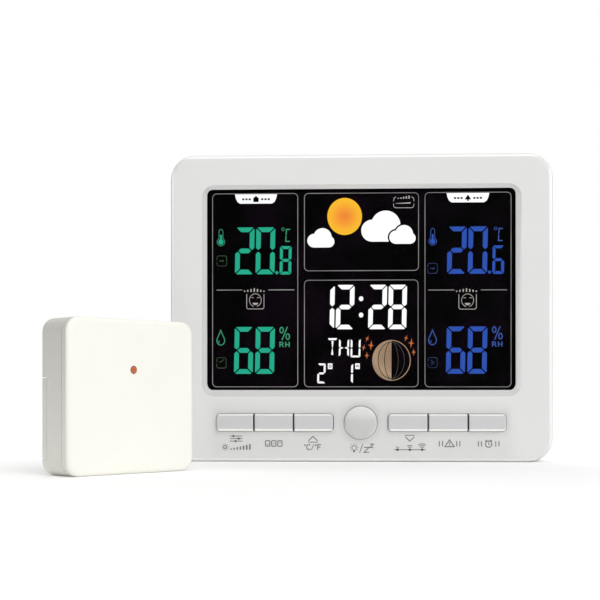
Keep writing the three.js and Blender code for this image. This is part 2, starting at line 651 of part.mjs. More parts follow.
function buildSensor() {
  const group = new THREE.Group();
  addPart(group, "sensor_front_shell", sensorFrontShell(), FINISHES.sensor);
  addPart(group, "sensor_rear_shell", sensorRearShell(), FINISHES.sensor);
  addPart(group, "sensor_battery_door", sensorBatteryDoor(), FINISHES.sensor);
  const lens = (inset) => circle(0, SENSOR_LED.z, SENSOR_LED.radius - inset, 24);
  const { front, back } = SENSOR_BOARD;
  const lensBack = front - 0.4;
  const lensBody = roundedPlate(lens, SENSOR_LED.front, lensBack, 0.5, 0, SMALL_STEPS);
  addPart(group, "sensor_led_lens", lensBody, FINISHES.led);
  addPart(group, "sensor_board", box(-26, 26, front, back, 6, 46), FINISHES.board);
  const probe = box(16, 20, back + GAP, back + 0.8, 3.5, 8);
  addPart(group, "sensor_probe", probe, FINISHES.chip);
  const y = SENSOR_TRAY.floor + GAP + CELL.radius;
  const cellZs = [14.7, 25.9];
  cellZs.forEach((z, i) => {
    addPart(group, `sensor_battery_${i + 1}`, cell(0, y, z, i % 2 === 0), FINISHES.cell);
  });
  const plateX = SENSOR_TRAY.x - 0.6;
  addPart(group, "sensor_contact_bridge", contacts(-plateX, y, cellZs, -1), FINISHES.metal);
  addPart(group, "sensor_contact_plus", contacts(plateX, y, [cellZs[0]], 1), FINISHES.metal);
  addPart(group, "sensor_contact_minus", contacts(plateX, y, [cellZs[1]], 1), FINISHES.metal);
  sensorControls(group);
  SENSOR_SCREWS.forEach((x, i) => {
    addPart(group, `sensor_screw_${i + 1}`, screw(x, SENSOR_SCREW.z, SENSOR_SCREW), FINISHES.metal);
  });
  group.position.set(SENSOR_PLACE.x, SENSOR_PLACE.y, 0);
  group.rotation.z = radians(SENSOR_PLACE.turn);
  return group;
}

const station = new THREE.Group();
station.add(buildConsole(), buildSensor());

export default station;
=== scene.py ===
import math

import bpy
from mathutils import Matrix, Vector


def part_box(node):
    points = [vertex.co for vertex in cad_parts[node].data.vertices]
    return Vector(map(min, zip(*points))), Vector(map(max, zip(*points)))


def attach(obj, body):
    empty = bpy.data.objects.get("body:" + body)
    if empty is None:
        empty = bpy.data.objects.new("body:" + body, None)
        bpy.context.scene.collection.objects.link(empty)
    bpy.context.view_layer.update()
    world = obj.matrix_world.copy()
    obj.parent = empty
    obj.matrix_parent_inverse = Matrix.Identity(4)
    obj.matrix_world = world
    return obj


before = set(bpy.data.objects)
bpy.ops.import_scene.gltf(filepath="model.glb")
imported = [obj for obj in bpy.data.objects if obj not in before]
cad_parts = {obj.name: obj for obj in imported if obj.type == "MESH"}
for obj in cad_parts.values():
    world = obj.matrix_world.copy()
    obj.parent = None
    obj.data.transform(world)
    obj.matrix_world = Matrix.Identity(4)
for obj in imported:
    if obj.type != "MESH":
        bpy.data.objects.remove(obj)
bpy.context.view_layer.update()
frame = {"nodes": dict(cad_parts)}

# The scene is in metres, in the part's own frame. Drawings are laid out in millimetres.
MM = 0.001
FRONT_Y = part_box("front_bezel")[0].y / MM  # the bezel's face
GLASS_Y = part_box("lcd_panel")[0].y / MM  # the display glass, behind its window
SHEET = 0.04  # thickness of one printed or lit layer
SENSOR_TURN = 46.9  # degrees that the outdoor sensor is turned about Z
SENSOR_MIDDLE = (-95.5, -92.4)  # X and Y of its middle
SENSOR_EDGE = -8.1  # depth, from its middle, at which the sensor's face has curved into its sides
ROUND_KEY_Z = 18.0  # height of the round key's middle; its X is 0
SUN = (-7.32, 112.97)  # middles of the drawn sun and moon, X and Z
MOON = (14.2, 46.57)


# ---- colours and node helpers

def linear(value):
    """One channel of a screen colour, 0 to 255, as linear light."""
    share = value / 255
    return share / 12.92 if share <= 0.04045 else ((share + 0.055) / 1.055) ** 2.4


def rgb(red, green, blue):
    return (linear(red), linear(green), linear(blue), 1.0)


def shaded(color, factor):
    return tuple(min(1.0, channel * factor) for channel in color[:3]) + (1.0,)


class Nodes:
    """Short ways to make and join the nodes of one tree."""

    def __init__(self, tree):
        self.tree = tree

    def node(self, kind, inputs=None, **settings):
        """A new node with these settings; each input is joined to the socket or set to the value given."""
        made = self.tree.nodes.new(kind)
        for key, value in settings.items():
            setattr(made, key, value)
        for key, value in (inputs or {}).items():
            if isinstance(value, bpy.types.NodeSocket):
                self.link(value, made.inputs[key])
            else:
                made.inputs[key].default_value = value
        return made

    def link(self, output, target):
        self.tree.links.new(output, target)

    def times(self, first, second):
        return self.node("ShaderNodeMath", {0: first, 1: second}, operation="MULTIPLY").outputs["Value"]

    def ranged(self, value, low, high, from_low=0.3, from_high=0.7, smooth=False):
        """The value's span from_low to from_high carried to low to high, and held at both ends."""
        span = {"From Min": from_low, "From Max": from_high, "To Min": low, "To Max": high}
        kind = "SMOOTHSTEP" if smooth else "LINEAR"
        made = self.node("ShaderNodeMapRange", {"Value": value, **span}, interpolation_type=kind)
        return made.outputs["Result"]


class Look(Nodes):
    """A Principled material whose colour, roughness and relief come from nodes."""

    def __init__(self, name, **fixed):
        self.material = bpy.data.materials.new(name)
        self.material.use_nodes = True
        super().__init__(self.material.node_tree)
        self.shader = self.tree.nodes["Principled BSDF"]
        self.place = self.node("ShaderNodeTexCoord").outputs["Object"]
        self.normal = None
        self.axes = None
        for socket, value in fixed.items():
            self.shader.inputs[socket.replace("_", " ")].default_value = value

    def mapped(self, **settings):
        """The place after a Mapping node with the Location, Rotation or Scale given."""
        return self.node("ShaderNodeMapping", {"Vector": self.place, **settings}).outputs["Vector"]

    def noise(self, per_metre, detail=2.0, place=None, distortion=0.0):
        inputs = {"Vector": place or self.place, "Scale": per_metre, "Detail": detail}
        return self.node("ShaderNodeTexNoise", {**inputs, "Distortion": distortion}).outputs["Fac"]

    def cells(self, per_metre):
        made = self.node("ShaderNodeTexVoronoi", {"Vector": self.place, "Scale": per_metre})
        return made.outputs["Distance"]

    def distance(self, point, reach):
        """0 at a point of the part's frame, in millimetres, and 1 at reach from it."""
        ends = {0: self.place, 1: Vector(point) * MM}
        away = self.node("ShaderNodeVectorMath", ends, operation="DISTANCE")
        return self.ranged(away.outputs["Value"], 0, 1, 0, reach * MM)

    def along(self, axis):
        """The place along X, Y or Z of the part's frame, in metres."""
        if self.axes is None:
            self.axes = self.node("ShaderNodeSeparateXYZ", {"Vector": self.place})
        return self.axes.outputs[axis]

    def step(self, value, low, high, edge, blur):
        """Smoothly from low to high where a place, in metres, passes edge, over a width of blur."""
        return self.ranged(value, low, high, (edge - blur / 2) * MM, (edge + blur / 2) * MM, smooth=True)

    def above(self, axis, edge, blur):
        """0 below edge and 1 above it, in millimetres."""
        return self.step(self.along(axis), 0, 1, edge, blur)

    def below(self, axis, edge, blur):
        return self.step(self.along(axis), 1, 0, edge, blur)

    def between(self, axis, low, high, low_blur, high_blur):
        return self.times(self.above(axis, low, low_blur), self.below(axis, high, high_blur))

    def inside(self, left, right, low, high, blur):
        """1 inside an upright rectangle seen from the front, in millimetres, with blurred borders."""
        across = self.between("X", left, right, blur, blur)
        return self.times(across, self.between("Z", low, high, blur, blur))

    def ramp(self, value, stops, interpolation="LINEAR"):
        made = self.node("ShaderNodeValToRGB")
        made.color_ramp.interpolation = interpolation
        elements = made.color_ramp.elements
        while len(elements) < len(stops):
            elements.new(1.0)
        for element, (position, color) in zip(elements, stops):
            element.position = position
            element.color = color
        self.link(value, made.inputs["Fac"])
        return made.outputs["Color"]

    def mixed(self, share, first, second):
        """The colour first, changed to second by the share."""
        return self.node("ShaderNodeMix", {0: share, 6: first, 7: second}, data_type="RGBA").outputs[2]

    def color(self, output):
        self.link(output, self.shader.inputs["Base Color"])

    def glow(self, output):
        self.link(output, self.shader.inputs["Emission Color"])

    def rough(self, value, low, high):
        self.link(self.ranged(value, low, high), self.shader.inputs["Roughness"])

    def relief(self, value, height):
        """Adds bumps of that height, in millimetres."""
        bump = self.node("ShaderNodeBump", {"Distance": height * MM, "Height": value})
        if self.normal is not None:
            self.link(self.normal, bump.inputs["Normal"])
        self.normal = bump.outputs["Normal"]
        self.link(self.normal, self.shader.inputs["Normal"])


# ---- materials

SHADE = rgb(60, 60, 66)  # what the soft shades round the keys tend to


def plastic(name, color, roughness, grain=0.02, painted_light=None):
    """Moulded plastic: spark-eroded grain, faint flow clouding and a few rubbed, lighter patches."""
    look = Look(name, IOR=1.46, Specular_IOR_Level=0.35)
    cloud = look.noise(28, 4, distortion=0.6)
    body = look.ramp(cloud, [(0.35, shaded(color, 0.985)), (0.65, color)])
    # painted light and shade, for the materials that are given it
    if painted_light:
        body = painted_light(look, body)
    rubbed = look.ranged(look.noise(45, 5), 0, 0.3, 0.6, 0.75)
    look.color(look.mixed(rubbed, body, shaded(color, 1.03)))
    look.rough(look.noise(190, 3), roughness - 0.05, roughness + 0.06)
    look.relief(look.noise(2600, 2), grain)
    look.relief(look.noise(75, 2), 0.03)
    return look.material


def bezel_painted_light(look, body):
    """Painted shade on the slope and round the keys, a painted glow in the key openings, and the outer
    edge's glint.
    """
    slope = look.times(look.above("Y", FRONT_Y + 0.15, 0.2), look.inside(-75, 75, 28, 129, 1))
    # Painted shade on the left and lower slopes round the display, which the key light would make brighter
    # than the others.
    left_slope, low_slope = look.below("X", -69.5, 1), look.below("Z", 33.5, 1)
    body = look.mixed(look.times(slope, left_slope), body, rgb(205, 205, 205))
    body = look.mixed(look.times(slope, low_slope), body, rgb(206, 206, 206))
    body = shade_round_keys(look, body)
    glow_in_key_openings(look)
    return outer_edge(look, body)


def shade_round_keys(look, body):
    """A wide faint shade over the whole key field, and a closer one round each row and the round key."""
    key_field, left_row, right_row = (-69, 69, 0, 27), (-67.3, -11.3, 12.6, 23.2), (11.3, 67.3, 12.6, 23.2)
    for share, box, blur in ((0.08, key_field, 8), (0.12, left_row, 3.6), (0.12, right_row, 3.6)):
        body = look.mixed(look.ranged(look.inside(*box, blur), 0, share, 0, 1), body, SHADE)
    from_round_key = look.distance((0, FRONT_Y, ROUND_KEY_Z), 12)
    return look.mixed(look.ranged(from_round_key, 0.12, 0, 0.66, 1, smooth=True), body, SHADE)


def glow_in_key_openings(look):
    """A painted glow on the walls of the key openings brightens the gaps round the keys."""
    walls = look.between("Y", FRONT_Y + 0.3, FRONT_Y + 3, 0.2, 0.5)
    walls = look.times(walls, look.inside(-69, 69, 9, 27, 1))
    look.shader.inputs["Emission Strength"].default_value = 1.0
    look.glow(look.mixed(walls, rgb(0, 0, 0), rgb(118, 118, 118)))


def outer_edge(look, body):
    """A painted glint where the front turns into the sides, brighter higher up, and a fine dark line behind
    it.
    """
    outside = look.ranged(look.inside(-85.6, 85.6, 1.9, 139.1, 0.4), 1, 0, 0, 1)
    # painted glint, a highlight on the fillet
    glint = look.between("Y", FRONT_Y + 0.1, FRONT_Y + 0.7, 0.15, 0.3)
    height = look.ranged(look.along("Z"), 0.45, 0.9, 10 * MM, 120 * MM)
    body = look.mixed(look.times(look.times(glint, outside), height), body, rgb(252, 252, 252))
    line = look.times(look.between("Y", FRONT_Y + 1.3, FRONT_Y + 2.2, 0.5, 0.3), outside)
    return look.mixed(look.ranged(line, 0, 0.6, 0, 1), body, rgb(60, 62, 66))


def sensor_painted_shade(look, body):
    """Painted shade: the shell behind its front edge is greyer, most of all towards the top."""
    turn = math.radians(SENSOR_TURN)
    backwards = Vector((-math.sin(turn), math.cos(turn), 0))
    product = look.node("ShaderNodeVectorMath", {0: look.place, 1: backwards}, operation="DOT_PRODUCT")
    depth = product.outputs["Value"]
    edge = (backwards.dot(Vector((*SENSOR_MIDDLE, 0))) + SENSOR_EDGE) * MM
    behind = look.ranged(depth, 0, 1, edge, edge + 0.8 * MM, smooth=True)
    height = look.ranged(look.along("Z"), 0.1, 0.36, 0, 60 * MM)
    # painted shade on the sides of the shell
    return look.mixed(look.times(behind, height), body, rgb(70, 68, 72))


def key_painted_light(look, body):
    """Painted highlights along the top and bottom of each key, and painted shade where two keys meet."""
    high_painted_highlight, low_painted_highlight = look.above("Z", 21.25, 0.3), look.below("Z", 15.0, 0.35)
    # painted highlights on the top and bottom rims
    body = look.mixed(look.ranged(high_painted_highlight, 0, 0.75, 0, 1), body, rgb(255, 255, 255))
    body = look.mixed(low_painted_highlight, body, rgb(255, 255, 252))
    for row in (("key_set", "key_memory", "key_up"), ("key_down", "key_alert", "key_alarm")):
        for left, right in zip(row, row[1:]):
            split_left, split_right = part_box(left)[1].x / MM - 0.02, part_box(right)[0].x / MM + 0.02
            # painted shade on the sides in the gap between two keys
            split = look.inside(split_left, split_right, 13, 23, 0.04)
            body = look.mixed(split, body, rgb(110, 110, 112))
    return body


def round_key_painted_light(look, body):
    """Painted light: lighter towards the top of the dome, with a painted highlight along the bottom rim."""
    body = look.mixed(look.ranged(look.above("Z", 20.5, 5), 0, 0.4, 0, 1), body, rgb(245, 245, 245))
    from_middle = look.distance((0, FRONT_Y, ROUND_KEY_Z), 7.5)
    # painted highlight along the bottom rim
    rim = look.times(look.ranged(from_middle, 0, 0.7, 0.93, 0.97), look.below("Z", 17, 6))
    return look.mixed(rim, body, rgb(245, 245, 244))


def rubber(name, color):
    look = Look(name, Specular_IOR_Level=0.25)
    look.color(look.ramp(look.noise(400, 4), [(0.3, shaded(color, 0.8)), (0.7, shaded(color, 1.25))]))
    look.rough(look.noise(900, 2), 0.75, 0.95)
    look.relief(look.noise(3000, 3), 0.03)
    return look.material


def metal(name, color, roughness, brushed=(1, 14, 14)):
    """Sheet metal with fine drawing marks and slight staining."""
    look = Look(name, Metallic=1.0)
    marks = look.noise(500, 3, look.mapped(Scale=brushed))
    stain = look.noise(90, 4)
    look.color(look.ramp(stain, [(0.3, shaded(color, 0.82)), (0.6, color)]))
    look.rough(marks, roughness, roughness + 0.18)
    look.relief(marks, 0.004)
    return look.material


def board_green(name):
    """Circuit board: solder mask over copper tracks, with tinned pads."""
    look = Look(name, Specular_IOR_Level=0.5)
    tracks = look.node("ShaderNodeTexBrick", {
        "Vector": look.mapped(Rotation=(math.pi / 2, 0, 0)), "Scale": 420, "Mortar Size": 0.06,
        "Color1": rgb(22, 92, 48), "Color2": rgb(26, 100, 54), "Mortar": rgb(40, 128, 70),
    }, offset=0.37, squash=0.6, squash_frequency=3)
    pads = look.ranged(look.cells(300), 1, 0, 0.12, 0.16)
    look.color(look.mixed(pads, tracks.outputs["Color"], rgb(196, 198, 200)))
    look.rough(look.noise(500, 2), 0.25, 0.45)
    look.relief(tracks.outputs["Fac"], 0.03)
    return look.material


def cell_jacket(name, shift, turn):
    """Foil-wrapped cell: a two-tone sleeve with bare steel at both ends. shift and turn lay it along X."""
    look = Look(name, Specular_IOR_Level=0.5)
    place = look.mapped(Location=shift, Rotation=(0, 0, turn))
    along = look.node("ShaderNodeSeparateXYZ", {"Vector": place}).outputs["X"]
    half_length = 22.5 * MM
    steel, sleeve, band = rgb(190, 192, 196), rgb(36, 92, 60), rgb(206, 176, 96)
    stops = [(0.0, steel), (0.035, sleeve), (0.7, band), (0.74, sleeve), (0.945, steel)]
    jacket = look.ramp(look.ranged(along, 0, 1, -half_length, half_length), stops, "CONSTANT")
    scuffs = look.ranged(look.noise(240, 4), 0, 0.25, 0.55, 0.75)
    look.color(look.mixed(scuffs, jacket, rgb(150, 160, 150)))
    look.link(look.ranged(along, 0.9, 0.35, 19.5 * MM, 21 * MM), look.shader.inputs["Metallic"])
    look.rough(look.noise(300, 2), 0.22, 0.4)
    look.relief(look.noise(1400, 2), 0.004)
    return look.material


def clear_window(name):
    """Anti-glare acrylic: almost clear, with a faint uneven sheen."""
    look = Look(name, Base_Color=rgb(6, 6, 8), Alpha=0.04, IOR=1.3, Specular_IOR_Level=0.1)
    look.rough(look.noise(60, 3), 0.16, 0.26)
    return look.material


def dark_glass(name):
    """Display glass that is switched dark, with the faint violet of its polariser."""
    look = Look(name, Specular_IOR_Level=0.03)
    look.color(look.ramp(look.noise(45, 2), [(0.42, rgb(0, 0, 0)), (0.66, rgb(11, 4, 12))]))
    look.rough(look.noise(120, 2), 0.3, 0.42)
    return look.material


def guide_acrylic(name):
    look = Look(name, IOR=1.49, Transmission_Weight=0.35, Emission_Strength=0.25)
    dots = look.cells(520)
    look.color(look.ramp(dots, [(0.1, rgb(255, 255, 252)), (0.5, rgb(226, 230, 232))]))
    look.glow(look.ramp(dots, [(0.1, rgb(255, 255, 250)), (0.4, rgb(190, 196, 205))]))
    look.rough(look.noise(200, 2), 0.2, 0.35)
    look.relief(dots, 0.02)
    return look.material


def unlit(name, strength=1.06):
    """The start of a lit look: black, without reflections, until it is given its glow."""
    return Look(name, Base_Color=(0, 0, 0, 1), Specular_IOR_Level=0.0, Emission_Strength=strength)


def lit(name, color, spread=0.05, scale=110, strength=1.06):
    """A lit area of the display: the light guide behind it makes it slightly uneven."""
    look = unlit(name, strength)
    cloud = look.noise(scale, 3)
    look.glow(look.ramp(cloud, [(0.3, shaded(color, 1 - spread)), (0.7, shaded(color, 1 + spread))]))
    look.rough(cloud, 0.45, 0.6)
    return look.material


def lit_sun(name, centre, reach):
    """Orange in the middle and yellow at the rim, in soft rings."""
    look = unlit(name)
    rings = look.ramp(look.distance(centre, reach), [
        (0.05, rgb(238, 138, 58)), (0.28, rgb(248, 150, 58)), (0.52, rgb(252, 168, 56)),
        (0.72, rgb(253, 186, 52)), (1.0, rgb(254, 194, 48)),
    ])
    look.glow(look.mixed(look.ranged(look.noise(300, 2), 0, 0.12), rings, rgb(250, 176, 60)))
    look.rough(look.noise(200, 2), 0.45, 0.6)
    return look.material


def lit_moon(name, centre, reach):
    """Tan, darker towards the lower left, with faint blotches."""
    look = unlit(name)
    shade = look.ramp(look.distance(centre, reach), [
        (0.0, rgb(150, 122, 100)), (0.35, rgb(160, 134, 110)), (0.6, rgb(178, 152, 124)),
        (0.82, rgb(150, 128, 104)), (1.0, rgb(96, 80, 66)),
    ])
    look.glow(look.mixed(look.ranged(look.noise(260, 3), 0, 0.3), shade, rgb(132, 108, 90)))
    look.rough(look.noise(200, 2), 0.45, 0.6)
    return look.material


def ink(name, color):
    """Pad-printed ink, slightly uneven where it lies thin on the grain."""
    look = Look(name, Specular_IOR_Level=0.25)
    look.color(look.ramp(look.noise(1500, 3), [(0.3, shaded(color, 0.85)), (0.7, shaded(color, 1.2))]))
    look.rough(look.noise(800, 2), 0.45, 0.6)
    look.relief(look.noise(2600, 2), 0.01)
    return look.material


def led_resin(name):
    look = Look(name, Specular_IOR_Level=0.4, Emission_Strength=0.02)
    cloud = look.noise(900, 3)
    look.color(look.ramp(cloud, [(0.3, rgb(182, 88, 42)), (0.7, rgb(198, 104, 56))]))
    look.glow(look.ramp(cloud, [(0.3, rgb(190, 84, 40)), (0.7, rgb(210, 110, 62))]))
    look.rough(look.noise(600, 2), 0.25, 0.4)
    return look.material


def studio_floor(name):
    look = Look(name, Specular_IOR_Level=0.0, Emission_Color=(1, 1, 1, 1), Emission_Strength=0.06)
    look.color(look.ramp(look.noise(6, 3), [(0.3, rgb(248, 248, 248)), (0.7, rgb(252, 252, 252))]))
    look.rough(look.noise(20, 2), 0.8, 0.95)
    return look.material


HOUSING = rgb(224, 224, 223)
SENSOR_WHITE = rgb(242, 241, 233)
MATERIALS = {
    "housing": plastic("housing_plastic", HOUSING, 0.5, painted_light=bezel_painted_light),
    "housing_back": plastic("housing_back_plastic", shaded(HOUSING, 0.96), 0.56, grain=0.03),
    "key": plastic("key_plastic", rgb(204, 204, 205), 0.36, grain=0.006, painted_light=key_painted_light),
    "round_key": plastic("round_key_plastic", rgb(201, 201, 201), 0.36, grain=0.006, painted_light=round_key_painted_light),
    "sensor": plastic("sensor_plastic", SENSOR_WHITE, 0.46, grain=0.018, painted_light=sensor_painted_shade),
    "window": clear_window("window_acrylic"),
    "glass": dark_glass("display_glass"),
    "guide": guide_acrylic("light_guide_acrylic"),
    "board": board_green("circuit_board"),
    "black": plastic("black_plastic", rgb(30, 30, 32), 0.42, grain=0.01),
    "grey": plastic("grey_plastic", rgb(150, 152, 156), 0.5),
    "rubber": rubber("pad_rubber", rgb(58, 58, 60)),
    "steel": metal("contact_steel", rgb(196, 198, 202), 0.22),
    "wire": metal("antenna_wire", rgb(200, 160, 110), 0.3, brushed=(3, 3, 3)),
    "led": led_resin("led_resin"),
    "green": lit("lit_green", rgb(40, 170, 138)),
    "green_thin": lit("lit_green_thin", rgb(64, 150, 112), 0.12, 300),
    "green_dim": lit("lit_green_dim", rgb(56, 78, 54), 0.3, 300),
    "blue": lit("lit_blue", rgb(48, 84, 176)),
    "blue_thin": lit("lit_blue_thin", rgb(60, 88, 160), 0.12, 300),
    "blue_dim": lit("lit_blue_dim", rgb(46, 56, 92), 0.3, 300),
    "white": lit("lit_white", rgb(255, 255, 255), 0.02, strength=1.15),
    "grey_line": lit("lit_grey", rgb(140, 139, 138), 0.3, 60),
    "pale_line": lit("lit_pale", rgb(176, 173, 168), 0.2, 200),
    "amber": lit("lit_amber", rgb(200, 112, 62), 0.06),
    "dark": lit("unlit_mask", rgb(4, 3, 5), 0.3),
    "faint_line": lit("lit_faint", rgb(62, 60, 58), 0.2, 200),
    "sun": lit_sun("lit_sun", (SUN[0], GLASS_Y, SUN[1]), 8.8),
    "moon": lit_moon("lit_moon", (MOON[0] + 1.5, GLASS_Y, MOON[1] + 2.5), 15.5),
    "print": ink("label_ink", rgb(116, 116, 118)),
}


# ---- finish of the CAD pieces

def modifier(piece, name, kind, **settings):
    made = piece.modifiers.new(name, kind)
    for key, value in settings.items():
        setattr(made, key, value)


def finished(node, key, edge):
    """Gives a CAD piece its material, rounds its sharp edges by edge millimetres, and shades it smooth."""
    piece = frame["nodes"][node]
    piece.data.materials.clear()
    piece.data.materials.append(MATERIALS[key] if isinstance(key, str) else key)
    if "custom_normal" in piece.data.attributes:
        piece.data.attributes.remove(piece.data.attributes["custom_normal"])
    for polygon in piece.data.polygons:
        polygon.use_smooth = True
    modifier(piece, "joined_corners", "WELD", merge_threshold=1e-6)
    modifier(
        piece, "rounded_edges", "BEVEL", width=edge * MM, segments=3, limit_method="ANGLE",
        angle_limit=math.radians(34), miter_outer="MITER_ARC", use_clamp_overlap=True,
        face_strength_mode="FSTR_ALL",
    )
    modifier(piece, "even_shading", "WEIGHTED_NORMAL", use_face_influence=True, keep_sharp=False)


def finish_cad():
    nodes = frame["nodes"]
    finishes = {
        "front_bezel": ("housing", 0.12), "rear_cover": ("housing_back", 0.2),
        "battery_door": ("housing_back", 0.15), "table_stand": ("housing_back", 0.3),
        "display_window": ("window", 0.1), "lcd_panel": ("glass", 0.1), "backlight_guide": ("guide", 0.15),
        "backlight_led_strip": ("board", 0.08), "elastomer_strip": ("rubber", 0.15),
        "display_retainer": ("grey", 0.15), "main_board": ("board", 0.1), "controller_chip": ("black", 0.1),
        "radio_receiver": ("board", 0.08), "radio_antenna": ("wire", 0.05), "climate_sensor": ("grey", 0.1),
        "buzzer": ("black", 0.15), "dc_jack": ("black", 0.15),
        "sensor_front_shell": ("sensor", 0.15), "sensor_rear_shell": ("sensor", 0.15),
        "sensor_battery_door": ("sensor", 0.12), "sensor_led_lens": ("led", 0.08),
        "sensor_board": ("board", 0.1), "sensor_probe": ("black", 0.05),
        "sensor_reset_button": ("rubber", 0.08), "sensor_channel_slider": ("black", 0.1),
    }
    for name in nodes:
        if name.startswith("key_"):
            finishes[name] = ("round_key" if name == "key_snooze" else "key", 0.1)
        elif name.startswith("switch_"):
            finishes[name] = ("black", 0.12)
        elif "screw" in name or "contact" in name:
            finishes[name] = ("steel", 0.06)
        elif name.startswith("stand_pad"):
            finishes[name] = ("rubber", 0.2)
        elif "battery_" in name and name[-1].isdigit():
            finishes[name] = (jacket_of(name), 0.35)
    for name in nodes:
        finished(name, *finishes[name])


def jacket_of(name):
    """The jacket's pattern runs along the cell, which lies turned in the outdoor sensor."""
    low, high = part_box(name)
    middle = (low + high) / 2
    turn = -math.radians(SENSOR_TURN) if name.startswith("sensor_") else 0.0
    cosine, sine = math.cos(turn), math.sin(turn)
    shift = (-(middle.x * cosine - middle.y * sine), -(middle.x * sine + middle.y * cosine), -middle.z)
    return cell_jacket("jacket_" + name, shift, turn)


# ---- drawing in the XZ plane

def arc(x, z, radius_x, radius_z, start, end, steps=24):
    angles = [math.radians(start + (end - start) * i / steps) for i in range(steps + 1)]
    return [(x + radius_x * math.cos(a), z + radius_z * math.sin(a)) for a in angles]


def ellipse(x, z, radius_x, radius_z=None, steps=40):
    return arc(x, z, radius_x, radius_z or radius_x, 0, 360, steps)[:-1]


def rounded_box(left, right, low, high, radius, steps=5):
    corners = [(right, low, -90), (right, high, 0), (left, high, 90), (left, low, 180)]
    points = []
    for x, z, start in corners:
        centre_x = x - radius if x == right else x + radius
        centre_z = z - radius if z == high else z + radius
        points += arc(centre_x, centre_z, radius, radius, start, start + 90, steps)
    return points


def softened(points, radius):
    """The outline with its corners rounded off."""
    soft = []
    for i, corner in enumerate(points):
        ends = []
        for other in (points[i - 1], points[(i + 1) % len(points)]):
            span = math.dist(corner, other)
            share = min(radius, 0.4 * span) / span
            ends.append(tuple(c + share * (o - c) for c, o in zip(corner, other)))
        middle = tuple(0.25 * a + 0.5 * c + 0.25 * b for a, c, b in zip(ends[0], corner, ends[1]))
        soft += [ends[0], middle, ends[1]]
    return soft


def moved(points, x, z, scale=1.0, turn=0.0):
    cosine, sine = math.cos(math.radians(turn)), math.sin(math.radians(turn))
    return [
        (x + scale * (px * cosine - pz * sine), z + scale * (px * sine + pz * cosine)) for px, pz in points
    ]


def offset(points, distance, closed):
    """The line moved to its left by distance, with mitred corners."""
    count = len(points)
    shifted = []
    for i, (x, z) in enumerate(points):
        before = points[i - 1] if closed or i > 0 else None
        after = points[(i + 1) % count] if closed or i < count - 1 else None
        normals = []
        for start, end in ((before, (x, z)), ((x, z), after)):
            if start is not None and end is not None:
                length = math.dist(start, end)
                normals.append(((start[1] - end[1]) / length, (end[0] - start[0]) / length))
        sum_x, sum_z = (sum(n[axis] for n in normals) for axis in (0, 1))
        reach = math.hypot(sum_x, sum_z)
        cosine = max(0.4, reach / len(normals))
        step = distance / (reach * cosine)
        shifted.append((x + step * sum_x, z + step * sum_z))
    return shifted


class Sheet:
    """Flat shapes in the XZ plane, in millimetres, that together become one thin piece."""

    def __init__(self, front, thickness=SHEET):
        self.front = front
        self.back = front + thickness
        self.verts = []
        self.faces = []

    def _points(self, points):
        start = len(self.verts)
        self.verts += [(x * MM, self.front * MM, z * MM) for x, z in points]
        self.verts += [(x * MM, self.back * MM, z * MM) for x, z in points]
        return start, start + len(points)

    def fill(self, points):
        doubled_area = sum(a[0] * b[1] - b[0] * a[1] for a, b in zip(points, points[1:] + points[:1]))
        if doubled_area < 0:
            points = points[::-1]
        count = len(points)
        front, back = self._points(points)
        self.faces.append(tuple(range(front, front + count)))
        self.faces.append(tuple(range(back + count - 1, back - 1, -1)))
        for i in range(count):
            j = (i + 1) % count
            self.faces.append((front + i, back + i, back + j, front + j))

    def band(self, right, left, closed):
        """The strip between two lines of equal point count; right lies to the right of their run."""
        count = len(right)
        r, r_back = self._points(right)
        l, l_back = self._points(left)
        for i in range(count if closed else count - 1):
            j = (i + 1) % count
            self.faces += [
                (r + i, r + j, l + j, l + i),
                (r_back + i, l_back + i, l_back + j, r_back + j),
                (r + i, r_back + i, r_back + j, r + j),
                (l + j, l_back + j, l_back + i, l + i),
            ]
        if not closed:
            end = count - 1
            self.faces.append((r, l, l_back, r_back))
            self.faces.append((l + end, r + end, r_back + end, l_back + end))

    def stroke(self, points, width, closed=False):
        self.band(offset(points, -width / 2, closed), offset(points, width / 2, closed), closed)

    def dash(self, x0, z0, x1, z1, width):
        self.stroke([(x0, z0), (x1, z1)], width)

    def rays(self, x, z, inner, outer, angles, width):
        """Dashes that point away from x, z, from inner to outer."""
        for angle in angles:
            cosine, sine = math.cos(math.radians(angle)), math.sin(math.radians(angle))
            self.dash(x + inner * cosine, z + inner * sine, x + outer * cosine, z + outer * sine, width)

    def made(self, name, material, slot, body="console"):
        mesh = bpy.data.meshes.new(name)
        mesh.from_pydata(self.verts, [], self.faces)
        mesh.materials.append(MATERIALS[material])
        piece = bpy.data.objects.new(name, mesh)
        bpy.context.scene.collection.objects.link(piece)
        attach(piece, body)
        return piece


def layer(level):
    """Front of a lit layer; level 0 lies against the display glass, and each next one before it."""
    return GLASS_Y - 0.02 - (level + 1) * (SHEET + 0.01)


# ---- segment read-outs

DIGIT_BARS = {"0": "abcdef", "1": "bc", "2": "abged", "6": "acdefg", "8": "abcdefg"}
DIGIT_LEAN = math.tan(math.radians(1.15))


